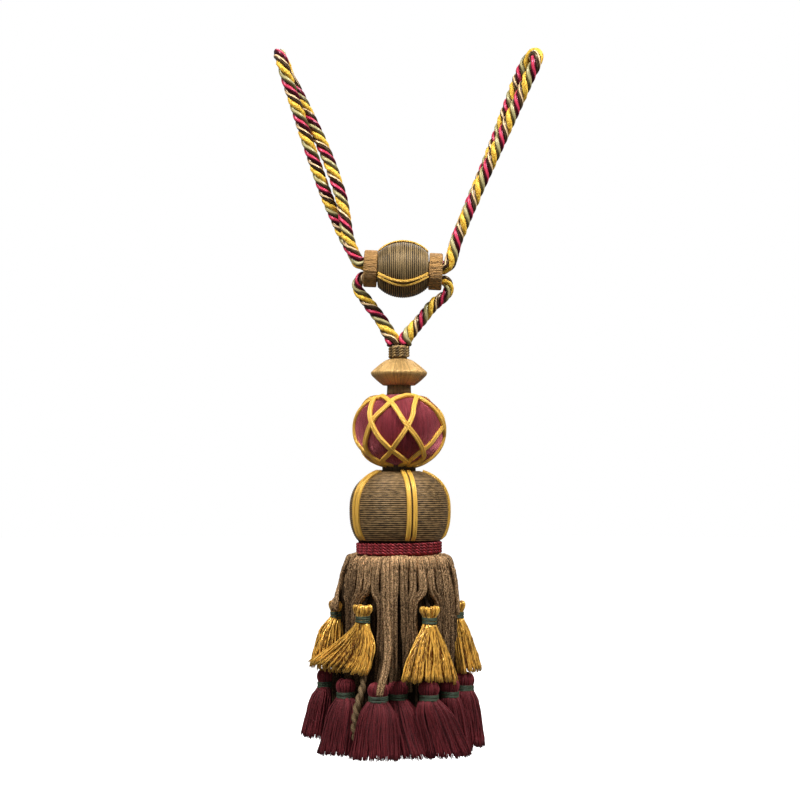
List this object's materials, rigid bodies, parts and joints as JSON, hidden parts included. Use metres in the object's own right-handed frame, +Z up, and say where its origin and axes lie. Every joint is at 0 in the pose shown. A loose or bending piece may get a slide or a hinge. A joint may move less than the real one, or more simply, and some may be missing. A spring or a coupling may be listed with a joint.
{
  "type": "curtain tieback tassel",
  "caption": "Key tassel tieback: twisted cord with two eyes, a slider ball, wound balls with gold braid, and a fringed skirt of small tassels.",
  "frame": {"origin": "midway between the two cord eyes, at the level where they bear on what holds them", "axes": "+Z up along the hanging tassel, +X to the viewer's right, +Y away from the viewer"},
  "size_m": [0.1901, 0.1166, 0.4921],
  "materials": {
    "rope": "four twisted strands in burgundy, brown, gold and olive",
    "ribbed_olive": "ribbed silk, wound close",
    "camel": "wrapped yarn, matt",
    "gold_braid": "satin flat braid",
    "taupe": "knitted and twisted yarn, matt",
    "beige_silk": "silk wound radially, soft sheen",
    "burgundy_thread": "satin thread",
    "gold_thread": "lustrous fringe thread",
    "green_thread": "wound cotton thread, matt"
  },
  "bodies": {
    "root": {"braid_lattice": "gold_braid", "bullion_cord": "taupe", "burgundy_ball": "burgundy_thread", "burgundy_binding": "burgundy_thread", "burgundy_tassel_01": "burgundy_thread", "burgundy_tassel_02": "burgundy_thread", "burgundy_tassel_03": "burgundy_thread", "burgundy_tassel_04": "burgundy_thread", "burgundy_tassel_05": "burgundy_thread", "burgundy_tassel_06": "burgundy_thread", "burgundy_tassel_07": "burgundy_thread", "burgundy_tassel_08": "burgundy_thread", "burgundy_tassel_09": "burgundy_thread", "burgundy_tassel_10": "burgundy_thread", "burgundy_tassel_11": "burgundy_thread", "burgundy_tassel_12": "burgundy_thread", "burgundy_tie_01": "green_thread", "burgundy_tie_02": "green_thread", "burgundy_tie_03": "green_thread", "burgundy_tie_04": "green_thread", "burgundy_tie_05": "green_thread", "burgundy_tie_06": "green_thread", "burgundy_tie_07": "green_thread", "burgundy_tie_08": "green_thread", "burgundy_tie_09": "green_thread", "burgundy_tie_10": "green_thread", "burgundy_tie_11": "green_thread", "burgundy_tie_12": "green_thread", "disc": "beige_silk", "embrace_cord": "rope", "gold_tassel_01": "gold_thread", "gold_tassel_02": "gold_thread", "gold_tassel_03": "gold_thread", "gold_tassel_04": "gold_thread", "gold_tassel_05": "gold_thread", "gold_tassel_06": "gold_thread", "gold_tassel_07": "gold_thread", "gold_tie_01": "green_thread", "gold_tie_02": "green_thread", "gold_tie_03": "green_thread", "gold_tie_04": "green_thread", "gold_tie_05": "green_thread", "gold_tie_06": "green_thread", "gold_tie_07": "green_thread", "neck_binding": "taupe", "olive_ball": "ribbed_olive", "olive_braid_1": "gold_braid", "olive_braid_2": "gold_braid", "olive_braid_3": "gold_braid", "olive_braid_4": "gold_braid", "olive_braid_5": "gold_braid", "skirt": "taupe", "slider_ball": "ribbed_olive", "slider_braid_1": "gold_braid", "slider_braid_2": "gold_braid", "slider_braid_3": "gold_braid", "slider_collar_left": "camel", "slider_collar_right": "camel", "spacer": "taupe", "tassel_loop_cord": "rope"}
  },
  "joints": []
}
